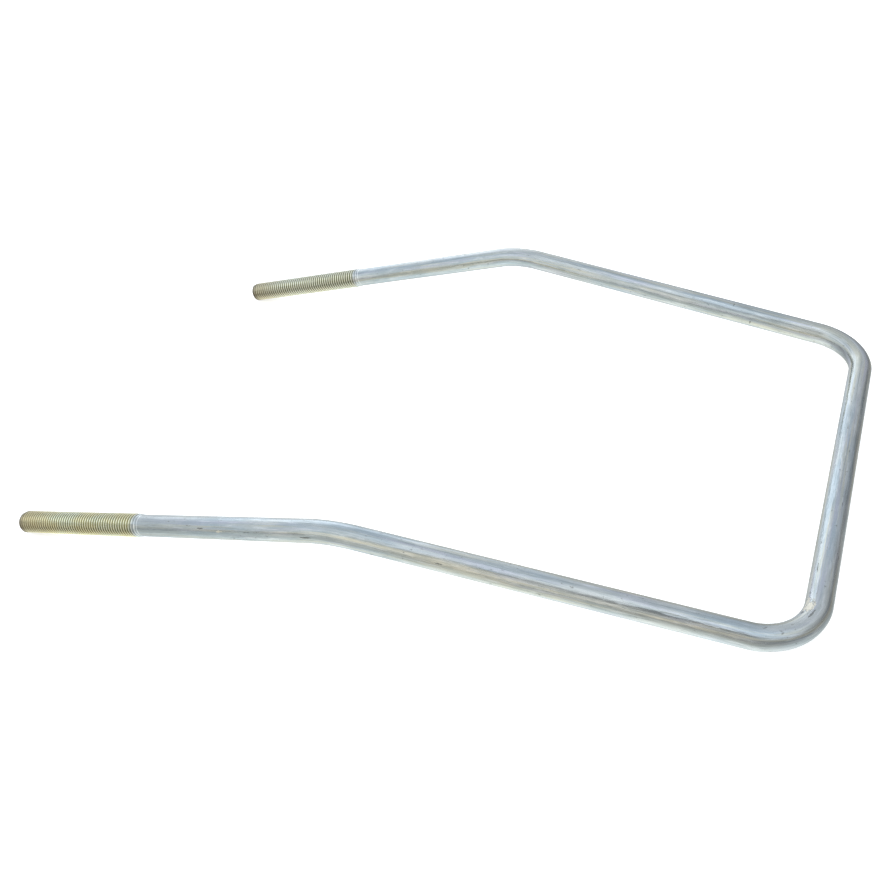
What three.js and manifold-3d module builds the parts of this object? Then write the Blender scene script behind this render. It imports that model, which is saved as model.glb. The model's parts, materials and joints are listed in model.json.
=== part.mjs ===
// A cranked U-bolt, bent from one rod with a thread rolled onto each end. Millimetres.
//
// It lies as it does on a bench: +X points to the closed end, Y runs across the bolt and
// +Z is up. It rests on the underside of the bridge and on the tips of its two tails, and
// the origin is on the bench, under the middle of the bolt.
import * as THREE from 'three';
import { mergeVertices } from 'three/addons/utils/BufferGeometryUtils.js';
import Module from 'manifold-3d';

const wasm = await Module();
wasm.setup();

// The rod and its bends. Lengths run between the corners of the centreline, which are
// where its straight stretches would meet if the bends were sharp.
const ROD_RADIUS = 4.5;
const BRIDGE_WIDTH = 171;
const LEG_LENGTH = 165;
const TAIL_LENGTH = 173.5;
const LEG_SPLAY = THREE.MathUtils.degToRad(4.6);
const CRANK_ANGLE = THREE.MathUtils.degToRad(21);
const CORNER_BEND_RADIUS = 21;
const CRANK_BEND_RADIUS = 52;

// The thread, M10 x 1.5 and right-handed. Its length includes the run-out into the rod.
const THREAD_PITCH = 1.5;
const THREAD_CREST_RADIUS = 4.92;
const THREAD_ROOT_RADIUS = 4.08;
const THREAD_LENGTH = 78;
const RUNOUT_LENGTH = 5.5;
const TIP_FLAT_RADIUS = 3.7;
const TIP_CHAMFER_LENGTH = 1.2;

// Where the thread and the rod end inside each other, each is this far below the other.
const OVERLAP = 0.1;

// How finely the round surfaces are divided.
const ROD_SIDES = 16;
const THREAD_SIDES = 12;
const CORNER_STEPS = 10;
const CRANK_STEPS = 5;

const ZINC = new THREE.MeshStandardMaterial({
  color: 0xb9c0c2,
  roughness: 0.35,
  metalness: 1.0,
});

// A centreline made of stations, each a point with the direction the rod runs there. An
// extrusion puts one section at each station, so a straight stretch takes one step.
class StationCurve extends THREE.Curve {
  constructor(stations) {
    super();
    this.stations = stations;
  }

  stationAt(u) {
    return this.stations[Math.round(u * (this.stations.length - 1))];
  }

  getPointAt(u) {
    return this.stationAt(u).point.clone();
  }

  getTangentAt(u) {
    return this.stationAt(u).direction.clone();
  }
}

// The stations of one bend, an arc that turns the rod from one straight to the next.
function bendStations(before, corner, after, radius, steps) {
  const arriving = corner.clone().sub(before).normalize();
  const leaving = after.clone().sub(corner).normalize();
  const turn = arriving.angleTo(leaving);
  const inward = leaving.clone().addScaledVector(arriving, -arriving.dot(leaving)).normalize();
  const centre = corner.clone().addScaledVector(arriving, -radius * Math.tan(turn / 2));
  centre.addScaledVector(inward, radius);
  const stations = [];
  for (let step = 0; step <= steps; step++) {
    const angle = (turn * step) / steps;
    const point = centre.clone().addScaledVector(inward, -radius * Math.cos(angle));
    point.addScaledVector(arriving, radius * Math.sin(angle));
    const direction = arriving.clone().multiplyScalar(Math.cos(angle));
    direction.addScaledVector(inward, Math.sin(angle));
    stations.push({ point, direction });
  }
  return stations;
}

// The corners of the centreline on one side of the bolt, from the bridge to the tip. The
// bridge and the legs lie in one plane, and the tails turn down from it, parallel.
const TAIL_DIRECTION = new THREE.Vector3(-Math.cos(CRANK_ANGLE), 0, -Math.sin(CRANK_ANGLE));

function sideCorners(side) {
  const shoulder = new THREE.Vector3(0, (side * BRIDGE_WIDTH) / 2, 0);
  const legDirection = new THREE.Vector3(-Math.cos(LEG_SPLAY), side * Math.sin(LEG_SPLAY), 0);
  const crank = shoulder.clone().addScaledVector(legDirection, LEG_LENGTH);
  const tip = crank.clone().addScaledVector(TAIL_DIRECTION, TAIL_LENGTH);
  return { shoulder, crank, tip };
}

// The two stations of a tail: where the thread starts, and a run-out's length further on.
function tailStations(tip) {
  const start = tip.clone().addScaledVector(TAIL_DIRECTION, -THREAD_LENGTH);
  const end = start.clone().addScaledVector(TAIL_DIRECTION, RUNOUT_LENGTH);
  return { start, end };
}

// A section of the rod is a polygon whose corners lie on the circle.
function circleShape(radius, sides) {
  const corners = [];
  for (let side = 0; side < sides; side++) {
    const angle = (2 * Math.PI * (side + 0.5)) / sides;
    corners.push(new THREE.Vector2(radius * Math.cos(angle), radius * Math.sin(angle)));
  }
  return new THREE.Shape(corners);
}

// The bent rod between its threads. Over each run-out it narrows to a cone that ends
// inside the thread.
function bentRodGeometry(right, left) {
  const rightTail = tailStations(right.tip);
  const leftTail = tailStations(left.tip);
  const outward = TAIL_DIRECTION;
  const inward = TAIL_DIRECTION.clone().negate();
  const stations = [
    { point: rightTail.end, direction: inward },
    { point: rightTail.start, direction: inward },
    ...bendStations(right.tip, right.crank, right.shoulder, CRANK_BEND_RADIUS, CRANK_STEPS),
    ...bendStations(right.crank, right.shoulder, left.shoulder, CORNER_BEND_RADIUS, CORNER_STEPS),
    ...bendStations(right.shoulder, left.shoulder, left.crank, CORNER_BEND_RADIUS, CORNER_STEPS),
    ...bendStations(left.shoulder, left.crank, left.tip, CRANK_BEND_RADIUS, CRANK_STEPS),
    { point: leftTail.start, direction: outward },
    { point: leftTail.end, direction: outward },
  ];
  const geometry = new THREE.ExtrudeGeometry(circleShape(ROD_RADIUS, ROD_SIDES), {
    steps: stations.length - 1,
    bevelEnabled: false,
    extrudePath: new StationCurve(stations),
  });
  for (const tail of [rightTail, leftTail]) {
    narrowEnd(geometry, tail.end, (THREAD_ROOT_RADIUS - OVERLAP) / ROD_RADIUS);
  }
  return geometry;
}

// Draws the vertices of the rod's end section in towards its middle.
function narrowEnd(geometry, middle, scale) {
  const position = geometry.attributes.position;
  const vertex = new THREE.Vector3();
  for (let i = 0; i < position.count; i++) {
    vertex.fromBufferAttribute(position, i);
    if (vertex.distanceTo(middle) < ROD_RADIUS + OVERLAP) {
      vertex.sub(middle).multiplyScalar(scale).add(middle);
      position.setXYZ(i, vertex.x, vertex.y, vertex.z);
    }
  }
}

// A threaded bar along +Y, from the start of the run-out to past the tip. It is a turned
// profile whose rows are crest and root by turns, half a pitch apart. Each row climbs by
// one pitch in one turn and so meets the next row but one, which makes the rings a helix.
// At both ends of the bar the crests and roots fade to one radius.
function threadedBarGeometry() {
  const rows = 2 * Math.ceil(THREAD_LENGTH / THREAD_PITCH) + 4;
  const top = (rows * THREAD_PITCH) / 2;
  const profile = [new THREE.Vector2(0, 0)];
  for (let row = 0; row <= rows + 2; row++) {
    profile.push(new THREE.Vector2(1, ((row - 2) * THREAD_PITCH) / 2));
  }
  profile.push(new THREE.Vector2(0, top));
  const geometry = new THREE.LatheGeometry(profile, THREAD_SIDES);
  const position = geometry.attributes.position;
  for (let i = 0; i < position.count; i++) {
    const row = i % profile.length;
    const column = Math.floor(i / profile.length);
    if (row === 0 || row === profile.length - 1) {
      continue;
    }
    const climb = (THREAD_PITCH * column) / THREAD_SIDES;
    const height = THREE.MathUtils.clamp(position.getY(i) + climb, 0, top);
    const fade = Math.min(height / RUNOUT_LENGTH, (top - height) / THREAD_PITCH, 1);
    const fullRadius = row % 2 === 0 ? THREAD_CREST_RADIUS : THREAD_ROOT_RADIUS;
    const radius = THREE.MathUtils.lerp(ROD_RADIUS - OVERLAP, fullRadius, fade);
    position.setXYZ(i, radius * position.getX(i), height, radius * position.getZ(i));
  }
  return geometry;
}

// What the threaded bar is cut to: a plain bar with a chamfer and a flat at its tip.
function tipBlankGeometry() {
  const outside = 2 * THREAD_CREST_RADIUS;
  const slope = (THREAD_CREST_RADIUS - TIP_FLAT_RADIUS) / TIP_CHAMFER_LENGTH;
  const chamferStart = THREAD_LENGTH - (outside - TIP_FLAT_RADIUS) / slope;
  const profile = [
    new THREE.Vector2(0, -THREAD_PITCH),
    new THREE.Vector2(outside, -THREAD_PITCH),
    new THREE.Vector2(outside, chamferStart),
    new THREE.Vector2(TIP_FLAT_RADIUS, THREAD_LENGTH),
    new THREE.Vector2(0, THREAD_LENGTH),
  ];
  return new THREE.LatheGeometry(profile, 2 * THREAD_SIDES);
}

// Turns a closed geometry into a solid that can be joined and cut.
function toSolid(geometry) {
  const bare = geometry.clone();
  bare.deleteAttribute('normal');
  bare.deleteAttribute('uv');
  const merged = mergeVertices(bare, 1e-4);
  const triangles = [];
  for (let i = 0; i < merged.index.count; i += 3) {
    const [a, b, c] = [0, 1, 2].map((corner) => merged.index.getX(i + corner));
    if (a !== b && b !== c && c !== a) {
      triangles.push(a, b, c);
    }
  }
  const mesh = new wasm.Mesh({
    numProp: 3,
    vertProperties: new Float32Array(merged.attributes.position.array),
    triVerts: new Uint32Array(triangles),
  });
  return new wasm.Manifold(mesh);
}

// Turns a solid back into a geometry.
function toGeometry(solid) {
  const mesh = solid.getMesh();
  const geometry = new THREE.BufferGeometry();
  geometry.setAttribute('position', new THREE.BufferAttribute(mesh.vertProperties, 3));
  geometry.setIndex(new THREE.BufferAttribute(mesh.triVerts, 1));
  geometry.computeVertexNormals();
  return geometry;
}

// One threaded end, cut to length and moved from its own axis to its tail.
function threadedEndSolid(tip) {
  const upright = new THREE.Vector3(0, 1, 0);
  const turn = new THREE.Quaternion().setFromUnitVectors(upright, TAIL_DIRECTION);
  const move = new THREE.Matrix4().makeRotationFromQuaternion(turn);
  move.setPosition(tailStations(tip).start);
  const bar = toSolid(threadedBarGeometry().applyMatrix4(move));
  const blank = toSolid(tipBlankGeometry().applyMatrix4(move));
  return bar.intersect(blank);
}

function uBoltGeometry() {
  const right = sideCorners(-1);
  const left = sideCorners(1);
  const rod = toSolid(bentRodGeometry(right, left));
  const ends = [right, left].map((side) => threadedEndSolid(side.tip));
  return toGeometry(ends.reduce((bolt, end) => bolt.add(end), rod));
}

const bolt = new THREE.Mesh(uBoltGeometry(), ZINC);
bolt.name = 'u_bolt_rod';

// Turned about Y until the tips are level with the bridge, then set down on the bench.
const drop = TAIL_LENGTH * Math.sin(CRANK_ANGLE);
const reach = LEG_LENGTH * Math.cos(LEG_SPLAY) + TAIL_LENGTH * Math.cos(CRANK_ANGLE);
bolt.rotation.y = Math.atan2(drop, reach);
const lying = new THREE.Box3().setFromObject(bolt, true);
bolt.position.set(-(lying.min.x + lying.max.x) / 2, 0, -lying.min.z);

const uBolt = new THREE.Group();
uBolt.add(bolt);

export default uBolt;
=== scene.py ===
# The look of a cranked U-bolt: one bent rod, zinc plated, with a rolled thread on each end.
import json
import math

import bpy
import numpy as np
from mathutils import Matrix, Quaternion, Vector


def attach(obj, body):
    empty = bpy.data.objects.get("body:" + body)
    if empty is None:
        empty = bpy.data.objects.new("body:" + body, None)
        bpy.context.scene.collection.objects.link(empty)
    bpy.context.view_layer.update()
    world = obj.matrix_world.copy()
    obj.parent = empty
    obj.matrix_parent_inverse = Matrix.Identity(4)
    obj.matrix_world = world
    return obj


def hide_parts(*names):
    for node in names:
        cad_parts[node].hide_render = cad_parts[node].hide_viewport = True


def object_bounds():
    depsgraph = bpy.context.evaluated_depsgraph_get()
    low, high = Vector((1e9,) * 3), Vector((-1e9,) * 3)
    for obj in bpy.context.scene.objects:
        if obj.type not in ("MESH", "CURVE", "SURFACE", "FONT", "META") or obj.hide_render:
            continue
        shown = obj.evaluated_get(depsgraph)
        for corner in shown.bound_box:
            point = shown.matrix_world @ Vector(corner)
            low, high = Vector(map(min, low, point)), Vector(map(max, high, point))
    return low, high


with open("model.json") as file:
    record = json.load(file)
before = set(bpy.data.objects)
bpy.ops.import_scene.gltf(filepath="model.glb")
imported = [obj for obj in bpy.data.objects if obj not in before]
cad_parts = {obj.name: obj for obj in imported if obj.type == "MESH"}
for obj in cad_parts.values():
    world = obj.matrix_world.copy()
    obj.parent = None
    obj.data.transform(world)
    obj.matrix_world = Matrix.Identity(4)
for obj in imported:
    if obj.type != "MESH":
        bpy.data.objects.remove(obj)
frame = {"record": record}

MM = 0.001
CAD_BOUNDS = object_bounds()

# The rod and its bends. Lengths run between the corners of the centreline.
ROD_RADIUS = 4.5 * MM
BRIDGE_WIDTH = 171 * MM
TAIL_LENGTH = 173.5 * MM
CORNER_BEND_RADIUS = 21 * MM
CRANK_BEND_RADIUS = 52 * MM

# The rolled thread, M10 x 1.5. A pitch holds eight rows: the phase of each within the
# pitch, and its height from root (0) to crest (1). The plain shank counts as half-way.
PITCH = 1.5 * MM
CREST_RADIUS = 4.93 * MM
ROOT_RADIUS = 4.06 * MM
THREAD_LENGTH = 78 * MM
THREAD_ROWS = [(0.0, 1.0), (0.07, 0.96), (0.24, 0.5), (0.40, 0.06),
               (0.5, 0.0), (0.60, 0.06), (0.76, 0.5), (0.93, 0.96)]
SHANK_HEIGHT = 0.5
ROOT_RUNOUT = 3.6 * PITCH
CREST_RUNOUT = 3.2 * PITCH
TIP_FLAT_RADIUS = 3.7 * MM
TIP_CHAMFER = 1.2 * MM

# How far from the shank the thread's straw colour starts and is full.
STRAW_STARTS = 1.6 * PITCH
STRAW_FULL = 3.8 * PITCH

# Cold bending flattens the outside of a bend and swells the inside: shares of the radius,
# and the share of the bend over which they grow at each end.
OUTSIDE_FLATTENING = 0.035
INSIDE_SWELLING = 0.012
BEND_FADE = 0.25

# Rings that close a tip, each a share of the flat's radius with how far in it is dished, and
# the dish at the middle.
TIP_RINGS = [(0.97, -0.03 * MM), (0.8, -0.02 * MM), (0.45, 0.05 * MM), (0.2, 0.08 * MM)]
TIP_DISH = 0.09 * MM

# How finely the rod is divided.
COLUMNS = 64
SHANK_STEP = 1.2 * MM


# --- The centreline ---------------------------------------------------------------------


class Centreline:
    """Straights and arcs end to end, from the tip of one tail to the tip of the other."""

    def __init__(self, corners, bend_radii):
        self.spans = []
        self.length = 0.0
        start = corners[0]
        for before, corner, after, radius in zip(corners, corners[1:], corners[2:], bend_radii):
            arriving = (corner - before).normalized()
            leaving = (after - corner).normalized()
            turn = arriving.angle(leaving)
            bend_start = corner - arriving * radius * math.tan(turn / 2)
            inward = (leaving - arriving * arriving.dot(leaving)).normalized()
            self.add_straight(start, bend_start)
            self.add_arc(bend_start, arriving, inward, radius, turn)
            start = corner + leaving * radius * math.tan(turn / 2)
        self.add_straight(start, corners[-1])

    def add_straight(self, start, end):
        direction = (end - start).normalized()
        self.add(start, direction, Vector((0, 0, 0)), 0.0, (end - start).length)

    def add_arc(self, start, direction, inward, radius, turn):
        self.add(start, direction, inward, radius, radius * turn)

    def add(self, start, direction, inward, radius, length):
        self.spans.append({
            "from": self.length, "to": self.length + length, "start": np.array(start),
            "direction": np.array(direction), "inward": np.array(inward), "radius": radius,
        })
        self.length += length

    def bends(self):
        return [span for span in self.spans if span["radius"] > 0]

    def bend_centre_directions(self, along):
        """Towards the centre of the bend, fading to nothing at the bend's ends and beyond."""
        inward = np.zeros((len(along), 3))
        for span in self.bends():
            here = (along >= span["from"]) & (along <= span["to"])
            turned = ((along[here] - span["from"]) / span["radius"])[:, None]
            share = ((along[here] - span["from"]) / (span["to"] - span["from"]))[:, None]
            fade = smoothstep(0, BEND_FADE, share) * smoothstep(1, 1 - BEND_FADE, share)
            inward[here] = fade * (np.cos(turned) * span["inward"] - np.sin(turned) * span["direction"])
        return inward

    def at(self, along):
        """Points and directions at these distances along the centreline."""
        points = np.zeros((len(along), 3))
        directions = np.zeros((len(along), 3))
        for span in self.spans:
            here = (along >= span["from"] - 1e-9) & (along <= span["to"] + 1e-9)
            run = (along[here] - span["from"])[:, None]
            if span["radius"] == 0:
                points[here] = span["start"] + run * span["direction"]
                directions[here] = span["direction"]
                continue
            turned = run / span["radius"]
            across = span["radius"] * (1 - np.cos(turned)) * span["inward"]
            points[here] = span["start"] + span["radius"] * np.sin(turned) * span["direction"] + across
            directions[here] = np.cos(turned) * span["direction"] + np.sin(turned) * span["inward"]
        return points, directions


def bolt_centreline():
    """From the tip of the right-hand tail, round the bridge, to the tip of the left-hand one."""
    mounts = {mount["name"]: mount for mount in frame["record"]["mounts"]}
    low, high = CAD_BOUNDS
    sides = []
    for name, side in (("stud_tip_right", -1), ("stud_tip_left", 1)):
        tip = Vector(mounts[name]["pos_m"])
        crank = tip - Vector(mounts[name]["axis"]).normalized() * TAIL_LENGTH
        shoulder = Vector((high.x - ROD_RADIUS, side * BRIDGE_WIDTH / 2, low.z + ROD_RADIUS))
        sides.append([tip, crank, shoulder])
    right, left = sides
    bend_radii = [CRANK_BEND_RADIUS, CORNER_BEND_RADIUS, CORNER_BEND_RADIUS, CRANK_BEND_RADIUS]
    return Centreline(right + left[::-1], bend_radii)


# --- The rod's surface ------------------------------------------------------------------


def transported_normals(directions, first):
    """A normal at each row, carried along the rod without twisting."""
    normals = np.zeros_like(directions)
    normal = first
    for row, direction in enumerate(directions):
        normal = normal - direction * normal.dot(direction)
        normal = normal / np.linalg.norm(normal)
        normals[row] = normal
    return normals


def smoothstep(low, high, value):
    share = np.clip((value - low) / (high - low), 0, 1)
    return share * share * (3 - 2 * share)


def chamfer_radius(from_tip):
    """The radius that the chamfered tip allows."""
    slope = (CREST_RADIUS - TIP_FLAT_RADIUS) / TIP_CHAMFER
    return TIP_FLAT_RADIUS + slope * from_tip


def thread_radius(height, from_tip, from_shank):
    """The thread's radius at a height in its profile, fading out into the shank."""
    root = ROD_RADIUS + (ROOT_RADIUS - ROD_RADIUS) * smoothstep(0, ROOT_RUNOUT, from_shank)
    crest = ROD_RADIUS + (CREST_RADIUS - ROD_RADIUS) * smoothstep(0, CREST_RUNOUT, from_shank)
    return np.minimum(root + (crest - root) * height, chamfer_radius(from_tip))


class RodMesh:
    """Vertices and faces of the rod, built up from rings and helical lattices."""

    def __init__(self, line):
        self.line = line
        self.along = []
        self.around = []
        self.radius = []
        self.height = []
        self.faces = []
        self.angles = np.arange(COLUMNS) * 2 * math.pi / COLUMNS

    def add_vertices(self, along, around, radius, height):
        first = sum(len(part) for part in self.along)
        self.along.append(np.asarray(along, float))
        self.around.append(np.asarray(around, float))
        self.radius.append(np.asarray(radius, float))
        self.height.append(np.asarray(height, float))
        return first + np.arange(len(along))

    def add_ring(self, along, radius):
        flat = np.zeros(COLUMNS)
        return self.add_vertices(flat + along, self.angles, flat + radius, flat + SHANK_HEIGHT)

    def add_quads(self, a, b, c, d):
        """Quads from four index arrays. Where corners coincide, a quad becomes a triangle."""
        quads = np.stack([a, b, c, d], axis=-1).reshape(-1, 4)
        for quad in quads.tolist():
            corners = [v for i, v in enumerate(quad) if v != quad[i - 1]]
            if len(set(corners)) == len(corners) >= 3:
                self.faces.append(corners)

    def join_rings(self, ring, following):
        self.add_quads(ring, np.roll(ring, -1), np.roll(following, -1), following)

    def cap(self, ring, along, outward):
        """Closes a tip with rings that shrink to its middle, slightly dished."""
        for share, dish in TIP_RINGS:
            inner = self.add_ring(along - outward * dish, TIP_FLAT_RADIUS * share)
            self.join_rings(*((inner, ring) if outward < 0 else (ring, inner)))
            ring = inner
        middle = self.add_vertices([along - outward * TIP_DISH], [0], [0], [SHANK_HEIGHT])[0]
        for a, b in zip(ring, np.roll(ring, -1)):
            self.faces.append([b, a, middle] if outward < 0 else [a, b, middle])

    def add_thread(self, low_ring, high_ring, low, high, tip):
        """A helical lattice between two rings. Each row climbs one pitch in one turn, so at
        the seam it meets the row that is one pitch of rows further on."""
        rows = [(turn + phase, height)
                for turn in range(-1, math.ceil((high - low) / PITCH) + 1)
                for phase, height in THREAD_ROWS]
        turns = np.array([row[0] for row in rows])[:, None]
        height = np.array([row[1] for row in rows])[:, None] + np.zeros(COLUMNS)
        along = low + PITCH * (turns + np.arange(COLUMNS) / COLUMNS)
        shank = low if tip == high else high
        radius = thread_radius(height, np.abs(along - tip), np.abs(along - shank))
        gap = 0.02 * PITCH
        inside = (along > low + gap) & (along < high - gap)
        grid = np.where(along <= low + gap, low_ring, high_ring)
        around = np.broadcast_to(self.angles, along.shape)
        grid[inside] = self.add_vertices(along[inside], around[inside], radius[inside], height[inside])
        following = np.roll(grid, -1, axis=1)[:-len(THREAD_ROWS)]
        following[:, -1] = grid[len(THREAD_ROWS):, 0]
        grid = grid[:-len(THREAD_ROWS)]
        self.add_quads(grid[:-1], following[:-1], following[1:], grid[1:])

    def build(self):
        length = self.line.length
        shank_from, shank_to = THREAD_LENGTH, length - THREAD_LENGTH
        first_tip = self.add_ring(0, TIP_FLAT_RADIUS)
        last_tip = self.add_ring(length, TIP_FLAT_RADIUS)
        count = round((shank_to - shank_from) / SHANK_STEP)
        rings = [self.add_ring(s, ROD_RADIUS) for s in np.linspace(shank_from, shank_to, count)]
        for ring, following in zip(rings, rings[1:]):
            self.join_rings(ring, following)
        self.add_thread(first_tip, rings[0], 0, shank_from, tip=0)
        self.add_thread(rings[-1], last_tip, shank_to, length, tip=length)
        self.cap(first_tip, 0, -1)
        self.cap(last_tip, length, 1)


def surface_points(line, along, around, radius):
    """Where points on the rod lie, from their place along and around it and their radius."""
    order = np.argsort(along)
    on_line = np.clip(along, 0, line.length)
    points, directions = line.at(on_line)
    points = points + (along - on_line)[:, None] * directions
    normals = np.zeros_like(points)
    normals[order] = transported_normals(directions[order], np.array([0.0, 0.0, -1.0]))
    binormals = np.cross(directions, normals)
    across = np.cos(around)[:, None] * normals + np.sin(around)[:, None] * binormals
    inside = np.sum(across * line.bend_centre_directions(along), axis=1)
    bent_radius = radius * (1 - OUTSIDE_FLATTENING * np.clip(-inside, 0, 1) ** 2
                            + INSIDE_SWELLING * np.clip(inside, 0, 1) ** 2)
    return points + bent_radius[:, None] * across


def rod_object(line):
    """The rod's mesh, with its unbent shape and its threads as attributes for the material."""
    rod = RodMesh(line)
    rod.build()
    along = np.concatenate(rod.along)
    around = np.concatenate(rod.around)
    radius = np.concatenate(rod.radius)
    height = np.concatenate(rod.height)
    mesh = bpy.data.meshes.new("zinc_plated_rod")
    mesh.from_pydata(surface_points(line, along, around, radius).tolist(), [], rod.faces)
    mesh.shade_smooth()
    unbent = np.stack([radius * np.cos(around), radius * np.sin(around), along], axis=1)
    mesh.attributes.new("unbent", "FLOAT_VECTOR", "POINT").data.foreach_set("vector", unbent.ravel())
    from_shank = np.maximum(THREAD_LENGTH - along, along - (line.length - THREAD_LENGTH))
    thread = smoothstep(STRAW_STARTS, STRAW_FULL, from_shank)
    mesh.attributes.new("thread", "FLOAT", "POINT").data.foreach_set("value", thread)
    mesh.attributes.new("height", "FLOAT", "POINT").data.foreach_set("value", height)
    mesh.validate()
    obj = bpy.data.objects.new("zinc_plated_rod", mesh)
    bpy.context.scene.collection.objects.link(obj)
    return obj


# --- Materials --------------------------------------------------------------------------


# The sockets of a Mix node for its factor and its two colours, by number because their names
# are shared with other sockets.
MIX_INPUTS = (0, 6, 7)
MIX_RESULT = 2

BLACK = (0, 0, 0, 1)
WHITE = (1, 1, 1, 1)


class Nodes:
    """A short way to write the nodes of a material or of the sky."""

    def __init__(self, owner):
        self.owner = owner
        self.owner.use_nodes = True
        self.tree = self.owner.node_tree
        self.tree.nodes.clear()

    @classmethod
    def for_material(cls, name):
        return cls(bpy.data.materials.new(name))

    @classmethod
    def for_world(cls, name):
        return cls(bpy.data.worlds.new(name))

    def add(self, kind, settings=(), **inputs):
        node = self.tree.nodes.new(kind)
        for key, value in dict(settings).items():
            setattr(node, key, value)
        for key, value in inputs.items():
            self.feed(node.inputs[key.replace("_", " ")], value)
        return node

    def feed(self, socket, value):
        """Links a socket to another node's output, or sets it to a plain value."""
        if isinstance(value, bpy.types.NodeSocket):
            self.tree.links.new(value, socket)
        else:
            socket.default_value = value

    def noise(self, coordinates, scale, detail=3.0, roughness=0.55, **more):
        mapping = self.add("ShaderNodeMapping", Vector=coordinates, Scale=scale)
        node = self.add("ShaderNodeTexNoise", Vector=mapping.outputs[0], Scale=1.0, Detail=detail,
                        Roughness=roughness, **more)
        return node.outputs["Fac"]

    def span(self, value, low, high, to_low=0.0, to_high=1.0):
        node = self.add("ShaderNodeMapRange", {"interpolation_type": "SMOOTHSTEP"}, Value=value,
                        From_Min=low, From_Max=high, To_Min=to_low, To_Max=to_high)
        return node.outputs[0]

    def vector_length(self, vector):
        node = self.add("ShaderNodeVectorMath", {"operation": "LENGTH"}, Vector=vector)
        return node.outputs["Value"]

    def math(self, operation, a, b):
        node = self.add("ShaderNodeMath", {"operation": operation})
        for socket, value in zip(node.inputs, (a, b)):
            self.feed(socket, value)
        return node.outputs[0]

    def lobe(self, direction, azimuth, elevation, tightness):
        """1 towards one place in the surroundings, fading smoothly around it."""
        towards = self.add("ShaderNodeVectorMath", {"operation": "DOT_PRODUCT"})
        self.feed(towards.inputs[0], direction)
        self.feed(towards.inputs[1], compass(azimuth, elevation))
        away = self.math("SUBTRACT", towards.outputs["Value"], 1.0)
        return self.math("EXPONENT", self.math("MULTIPLY", away, tightness), 0)

    def mix(self, factor, a, b, blend="MIX"):
        node = self.add("ShaderNodeMix", {"data_type": "RGBA", "blend_type": blend})
        for index, value in zip(MIX_INPUTS, (factor, a, b)):
            self.feed(node.inputs[index], value)
        return node.outputs[MIX_RESULT]

    def add_scaled(self, total, colour, strength):
        """total + colour * strength."""
        return self.mix(1.0, total, self.mix(strength, BLACK, (*colour, 1)), blend="ADD")


# Marks on the plating, each placed from the middle of a bend: the bend, how far on along the
# rod, the clock angle (0 below, 90 inside the bolt, 180 on top, 270 outside), and half the
# length and half the width, in millimetres and degrees.
RIGHT_CRANK, RIGHT_CORNER, LEFT_CORNER = range(3)
CREAM_SCUFFS = [
    (RIGHT_CORNER, 10, 140, 2.6, 1.7),
    (RIGHT_CORNER, 13, 125, 2.0, 0.9),
    (RIGHT_CRANK, -50, 243, 1.3, 0.4),
]
DARK_MARKS = [
    (RIGHT_CORNER, 6, 136, 0.7, 0.5),
    (RIGHT_CORNER, 7, 175, 1.8, 0.28),
    (RIGHT_CORNER, 28, 140, 1.8, 0.13),
    (RIGHT_CORNER, 35, 222, 1.6, 0.16),
    (RIGHT_CRANK, -60, 230, 1.3, 0.2),
    (RIGHT_CRANK, -36, 244, 1.5, 0.15),
    (RIGHT_CRANK, -8, 258, 1.8, 0.28),
    (RIGHT_CRANK, 42, 242, 1.0, 0.26),
    (LEFT_CORNER, 45, 87, 0.22, 0.6),
    (LEFT_CORNER, 54, 165, 0.2, 0.6),
]

CREAM = (0.84, 0.78, 0.65, 1)
DARK = (0.12, 0.12, 0.11, 1)

# A mark's edge runs between these multiples of its size, and is made ragged by this much.
MARK_EDGE = (1.25, 0.85)
MARK_RAGGEDNESS = 3.6


def marks_mask(nodes, unbent, line, marks, ragged):
    """1 inside any of the marks and 0 outside them, with ragged outlines."""
    mask = None
    middles = [(bend["from"] + bend["to"]) / 2 for bend in line.bends()]
    for bend, further, clock, half_length, half_width in marks:
        clock = math.radians(clock)
        along = middles[bend] + further * MM
        centre = (ROD_RADIUS * math.cos(clock), ROD_RADIUS * math.sin(clock), along)
        size = (half_width * MM, half_width * MM, half_length * MM)
        local = nodes.add("ShaderNodeMapping", Vector=unbent, Scale=[1 / side for side in size],
                          Location=[-place / side for place, side in zip(centre, size)])
        distance = nodes.vector_length(local.outputs[0])
        spot = nodes.span(nodes.math("ADD", distance, ragged), *MARK_EDGE)
        mask = spot if mask is None else nodes.math("MAXIMUM", mask, spot)
    return mask


# The shank's colour: layers over a blue-grey, each a noise drawn out along the rod. A layer
# has its scale across and along, detail, roughness, the noise where it starts and where it is
# full, its share, and its colour.
BLUE_GREY = (0.43, 0.49, 0.53, 1)
SHANK_LAYERS = {
    "pale patches": (150, 22, 5, 0.55, 0.38, 0.62, 1.0, (0.55, 0.57, 0.56, 1)),
    "lilac streaks": (480, 24, 5, 0.55, 0.50, 0.64, 0.5, (0.50, 0.50, 0.58, 1)),
    "straw streaks": (560, 17, 5, 0.6, 0.50, 0.62, 0.65, (0.59, 0.57, 0.47, 1)),
    "dull blotches": (310, 110, 6, 0.7, 0.42, 0.62, 0.30, (0.33, 0.38, 0.38, 1)),
    "dark drawn lines": (1500, 34, 4, 0.6, 0.52, 0.64, 0.38, (0.24, 0.27, 0.28, 1)),
    "bright bare spots": (820, 95, 5, 0.65, 0.53, 0.66, 0.42, (0.72, 0.75, 0.76, 1)),
}
DULL_BESIDE_THREAD = (0.34, 0.39, 0.42, 1)
DULL_FROM = 82 * MM
DULL_TO = 135 * MM
# A painted highlight on the crests where a thread runs out.
RUNOUT_CREST_HIGHLIGHT = (0.86, 0.88, 0.87, 1)
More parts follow.
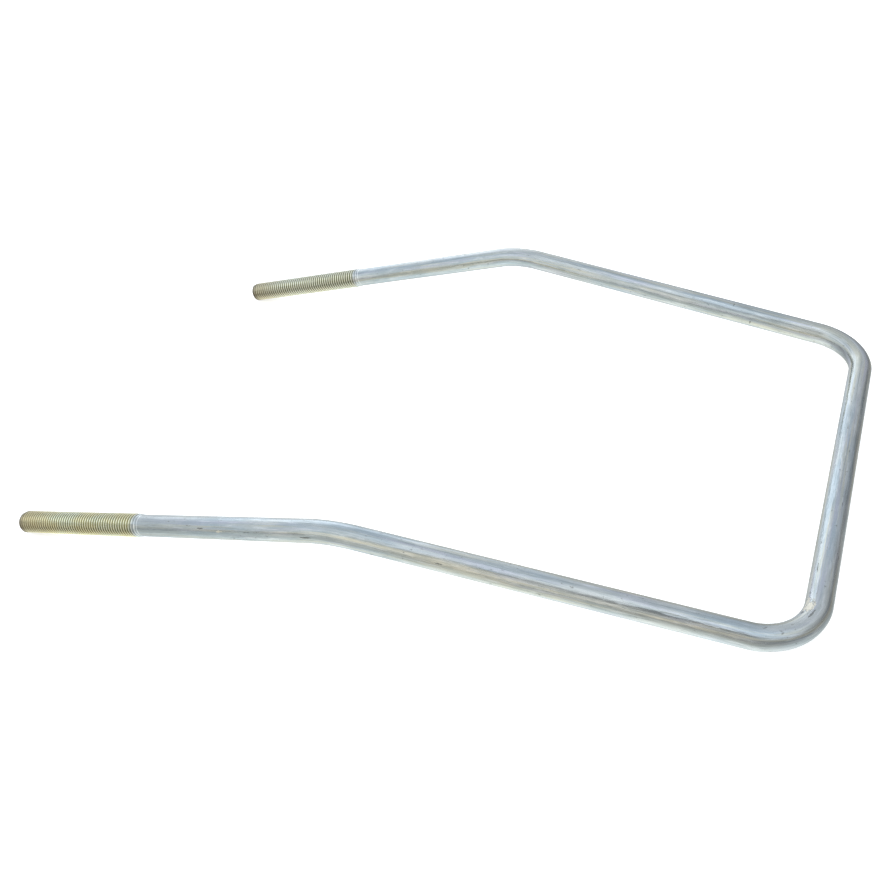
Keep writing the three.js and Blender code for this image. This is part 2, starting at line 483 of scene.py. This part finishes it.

# The threads' colours. Crests and flanks have two each, in patches, and a paler one that is
# mixed in on the left-hand thread. The crests' pale colours are a painted highlight, and the
# dark root colour is painted shade in the grooves.
CREST_PAINTED_HIGHLIGHTS = ((0.93, 0.88, 0.64, 1), (0.90, 0.91, 0.76, 1), (0.96, 0.97, 0.90, 1))
FLANK_COLOURS = ((0.42, 0.37, 0.17, 1), (0.38, 0.38, 0.22, 1), (0.58, 0.59, 0.46, 1))
ROOT_PAINTED_SHADE = (0.13, 0.12, 0.05, 1)
AGED_COLOUR = (0.44, 0.35, 0.20, 1)
# Painted shade, dark brown, on the chamfered tips.
TIP_PAINTED_SHADE = (0.20, 0.17, 0.13, 1)


def shank_colour(nodes, unbent, along, height):
    """Streaked zinc, duller beside the right-hand thread, with a painted highlight on the
    crests where a thread runs out."""
    colour = BLUE_GREY
    for across, lengthways, detail, roughness, start, full, share, tint in SHANK_LAYERS.values():
        noise = nodes.noise(unbent, (across, across, lengthways), detail=detail, roughness=roughness)
        colour = nodes.mix(nodes.span(noise, start, full, 0.0, share), colour, tint)
    colour = nodes.mix(nodes.span(along, DULL_TO, DULL_FROM, 0.0, 0.45), colour, DULL_BESIDE_THREAD)
    # Painted highlight: paler towards the crests of the run-out.
    return nodes.mix(nodes.span(height, 0.62, 0.95, 0.0, 0.7), colour, RUNOUT_CREST_HIGHLIGHT)


def thread_colour(nodes, unbent, height, ends, left):
    """Straw-yellow plating, with a painted highlight on the crests, painted shade in the roots and
    painted dark brown shade at the tip.
    """
    patches = nodes.span(nodes.noise(unbent, (140, 140, 60), detail=4), 0.38, 0.62)
    paler = nodes.math("MULTIPLY", left, 0.6)
    crest, flank = (nodes.mix(paler, nodes.mix(patches, first, second), pale)
                    for first, second, pale in (CREST_PAINTED_HIGHLIGHTS, FLANK_COLOURS))
    # Painted shade: darkest in the thread's roots, rising to the flank colour.
    colour = nodes.mix(nodes.span(height, 0.0, 0.7), ROOT_PAINTED_SHADE, flank)
    # Painted highlight on the thread's crests.
    colour = nodes.mix(nodes.span(height, 0.66, 0.98), colour, crest)
    colour = nodes.mix(nodes.span(ends, 30 * MM, 2 * MM, 0.0, 0.5), colour, AGED_COLOUR)
    # Painted shade on the chamfer at each tip.
    return nodes.mix(nodes.span(ends, 4.5 * MM, 0.6 * MM, 0.0, 0.85), colour, TIP_PAINTED_SHADE)


def zinc_relief(nodes, unbent, worn):
    """Die lines, a fine grain, the slow unevenness of drawn rod, and marks sunk into it."""
    grain = nodes.noise(unbent, (1500, 1500, 700), detail=3, roughness=0.6)
    lines = nodes.noise(unbent, (1900, 1900, 26), detail=3)
    swells = nodes.noise(unbent, (420, 420, 52), detail=4, roughness=0.6)
    relief = nodes.math("ADD", nodes.math("MULTIPLY", lines, 0.16), nodes.math("MULTIPLY", grain, 0.05))
    relief = nodes.math("ADD", relief, nodes.math("MULTIPLY", swells, 1.5))
    relief = nodes.math("SUBTRACT", relief, nodes.math("MULTIPLY", worn, 0.5))
    return nodes.add("ShaderNodeBump", Height=relief, Strength=0.7, Distance=0.00022).outputs[0]


def zinc_material(line):
    """Zinc plate. Its patterns follow the rod as it was before bending, end to end."""
    nodes = Nodes.for_material("zinc_plate")
    unbent = nodes.add("ShaderNodeAttribute", {"attribute_name": "unbent"}).outputs["Vector"]
    thread = nodes.add("ShaderNodeAttribute", {"attribute_name": "thread"}).outputs["Fac"]
    height = nodes.add("ShaderNodeAttribute", {"attribute_name": "height"}).outputs["Fac"]
    along = nodes.add("ShaderNodeSeparateXYZ", Vector=unbent).outputs["Z"]
    middle = nodes.math("ABSOLUTE", nodes.math("SUBTRACT", along, line.length / 2), 0)
    ends = nodes.math("SUBTRACT", line.length / 2, middle)
    left = nodes.span(along, 0.4 * line.length, 0.6 * line.length)

    ragged = nodes.noise(unbent, (1500, 1500, 620), detail=4, roughness=0.7)
    ragged = nodes.math("MULTIPLY", nodes.math("SUBTRACT", ragged, 0.5), MARK_RAGGEDNESS)
    speckle = nodes.noise(unbent, (1000, 1000, 480), detail=3, roughness=0.6)
    specks = nodes.span(speckle, 0.66, 0.71, 0.0, 0.7)
    dark = nodes.math("MAXIMUM", marks_mask(nodes, unbent, line, DARK_MARKS, ragged), specks)
    scuffs = marks_mask(nodes, unbent, line, CREAM_SCUFFS, ragged)
    worn = nodes.math("MAXIMUM", dark, scuffs)

    colour = nodes.mix(thread, shank_colour(nodes, unbent, along, height),
                       thread_colour(nodes, unbent, height, ends, left))
    colour = nodes.mix(nodes.math("MULTIPLY", scuffs, 0.7), colour, CREAM)
    colour = nodes.mix(nodes.math("MULTIPLY", dark, 0.66), colour, DARK)

    rough = nodes.span(nodes.noise(unbent, (300, 300, 16), detail=5), 0.35, 0.65, 0.14, 0.28)
    rough = nodes.math("ADD", rough, nodes.math("MULTIPLY", worn, 0.25))
    shader = nodes.add("ShaderNodeBsdfPrincipled", Base_Color=colour, Metallic=1.0, Roughness=rough,
                       Normal=zinc_relief(nodes, unbent, worn))
    output = nodes.add("ShaderNodeOutputMaterial")
    nodes.tree.links.new(shader.outputs[0], output.inputs[0])
    return nodes.owner


def floor_material():
    """A white table, with a glow of its own that keeps it white under the soft shadow."""
    nodes = Nodes.for_material("pale_floor")
    place = nodes.add("ShaderNodeTexCoord").outputs["Object"]
    speckle = nodes.noise(place, (40, 40, 40), detail=2)
    colour = nodes.mix(speckle, (0.90, 0.90, 0.90, 1), (0.92, 0.92, 0.92, 1))
    shader = nodes.add("ShaderNodeBsdfPrincipled", Base_Color=colour, Roughness=0.9,
                       Emission_Color=WHITE, Emission_Strength=TABLE_GLOW)
    output = nodes.add("ShaderNodeOutputMaterial")
    nodes.tree.links.new(shader.outputs[0], output.inputs[0])
    return nodes.owner


# --- Camera, floor and light ------------------------------------------------------------

CAMERA_AIM = Vector((12.73, -24.83, 15.0)) * MM
CAMERA_AZIMUTH = 32.07
CAMERA_ELEVATION = 38.12
CAMERA_DISTANCE = 395.55 * MM
CAMERA_ROLL = -13.74
CAMERA_LENS = 38.14

# The studio around the bolt: soft glows, each with its azimuth (0 is -Y, 90 is +X), elevation,
# tightness and radiance. Those below the horizon are the white table, as the metal mirrors it.
# GLOW_FLOOR is the light from everywhere.
GLOWS = {
    "ceiling": (0, 90, 2.5, (0.36, 0.41, 0.46)),
    "ceiling_lamp": (5, 73, 22, (0.45, 0.45, 0.46)),
    "front_high": (-45, 35, 4, (0.52, 0.56, 0.58)),
    "front": (-5, 22, 6, (0.60, 0.54, 0.44)),
    "table_front": (-35, -48, 3, (0.64, 0.66, 0.60)),
    "far": (145, 28, 8, (0.26, 0.27, 0.30)),
    "far_high": (178, 44, 7, (0.15, 0.16, 0.18)),
    "window": (-142, 14, 7, (1.28, 1.36, 1.44)),
    "left": (-100, 30, 5, (0.26, 0.28, 0.32)),
    "right_high": (75, 50, 6, (0.80, 0.85, 0.90)),
    "table_right": (75, -35, 4, (0.48, 0.46, 0.42)),
    "table_back": (180, -30, 4, (0.26, 0.24, 0.20)),
    "table_below": (0, -85, 3, (0.86, 0.92, 0.94)),
}
GLOW_FLOOR = (0.13, 0.14, 0.15, 1)

# What dims the glows: the dark edge of the table at the horizon, and whoever stands behind the
# camera.
TABLE_EDGE_HEIGHT = 0.0
TABLE_EDGE_HALF_WIDTH = 0.09
TABLE_EDGE_DARKNESS = 0.40
ONLOOKER_AZIMUTH = 17
ONLOOKER_ELEVATION = 47
ONLOOKER_TIGHTNESS = 26
ONLOOKER_DARKNESS = 0.74

# The floor, its lamp and its own glow.
FLOOR_SIZE = 8.0
TABLE_LIGHT_SIZE = 3.0
TABLE_LIGHT_HEIGHT = 2.0
TABLE_LIGHT_WATTS = 10.0
TABLE_GLOW = 0.6


def compass(azimuth, elevation):
    """The unit vector towards a place in the surroundings. Azimuth 0 is -Y and 90 is +X."""
    azimuth, elevation = math.radians(azimuth), math.radians(elevation)
    return Vector((math.sin(azimuth) * math.cos(elevation),
                   -math.cos(azimuth) * math.cos(elevation), math.sin(elevation)))


def add_camera():
    back = compass(CAMERA_AZIMUTH, CAMERA_ELEVATION)
    camera = bpy.data.objects.new("camera", bpy.data.cameras.new("camera"))
    camera.data.lens = CAMERA_LENS
    camera.data.clip_start = 0.01
    camera.location = CAMERA_AIM + back * CAMERA_DISTANCE
    roll = Quaternion((0, 0, 1), math.radians(CAMERA_ROLL))
    camera.rotation_mode = "QUATERNION"
    camera.rotation_quaternion = (-back).to_track_quat("-Z", "Y") @ roll
    bpy.context.scene.collection.objects.link(camera)
    bpy.context.scene.camera = camera


def add_floor():
    half = FLOOR_SIZE / 2
    mesh = bpy.data.meshes.new("floor")
    mesh.from_pydata([(-half, -half, 0), (half, -half, 0), (half, half, 0), (-half, half, 0)],
                     [], [(0, 1, 2, 3)])
    floor = bpy.data.objects.new("floor", mesh)
    floor.location.z = CAD_BOUNDS[0].z
    mesh.materials.append(floor_material())
    bpy.context.scene.collection.objects.link(floor)
    floor.visible_glossy = False


def add_table_light():
    """Lights the table evenly from overhead. The metal mirrors the glows and not this lamp."""
    light = bpy.data.lights.new("table_light", "AREA")
    light.shape = "SQUARE"
    light.size = TABLE_LIGHT_SIZE
    light.energy = TABLE_LIGHT_WATTS
    lamp = bpy.data.objects.new("table_light", light)
    lamp.location.z = TABLE_LIGHT_HEIGHT
    lamp.visible_camera = False
    lamp.visible_glossy = False
    bpy.context.scene.collection.objects.link(lamp)


def add_sky():
    """The glows for everything that the light falls on, and plain white behind the bolt."""
    sky = Nodes.for_world("sky")
    direction = sky.add("ShaderNodeTexCoord").outputs["Generated"]
    total = GLOW_FLOOR
    for azimuth, elevation, tightness, radiance in GLOWS.values():
        total = sky.add_scaled(total, radiance, sky.lobe(direction, azimuth, elevation, tightness))
    height = sky.add("ShaderNodeSeparateXYZ", Vector=direction).outputs["Z"]
    offset = sky.math("DIVIDE", sky.math("SUBTRACT", height, TABLE_EDGE_HEIGHT), TABLE_EDGE_HALF_WIDTH)
    edge = sky.math("EXPONENT", sky.math("MULTIPLY", sky.math("MULTIPLY", offset, offset), -1.0), 0)
    onlooker = sky.lobe(direction, ONLOOKER_AZIMUTH, ONLOOKER_ELEVATION, ONLOOKER_TIGHTNESS)
    glows = sky.mix(sky.math("MULTIPLY", edge, TABLE_EDGE_DARKNESS), total, BLACK)
    glows = sky.mix(sky.math("MULTIPLY", onlooker, ONLOOKER_DARKNESS), glows, BLACK)
    seen = sky.add("ShaderNodeLightPath").outputs["Is Camera Ray"]
    background = sky.add("ShaderNodeBackground", Color=sky.mix(seen, glows, WHITE))
    output = sky.add("ShaderNodeOutputWorld")
    sky.tree.links.new(background.outputs[0], output.inputs[0])
    bpy.context.scene.world = sky.owner


def main():
    add_camera()
    line = bolt_centreline()
    rod = rod_object(line)
    rod.data.materials.append(zinc_material(line))
    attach(rod, "root")
    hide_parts("u_bolt_rod")
    add_floor()
    add_sky()
    add_table_light()
    bpy.context.scene.view_settings.view_transform = "Standard"


main()
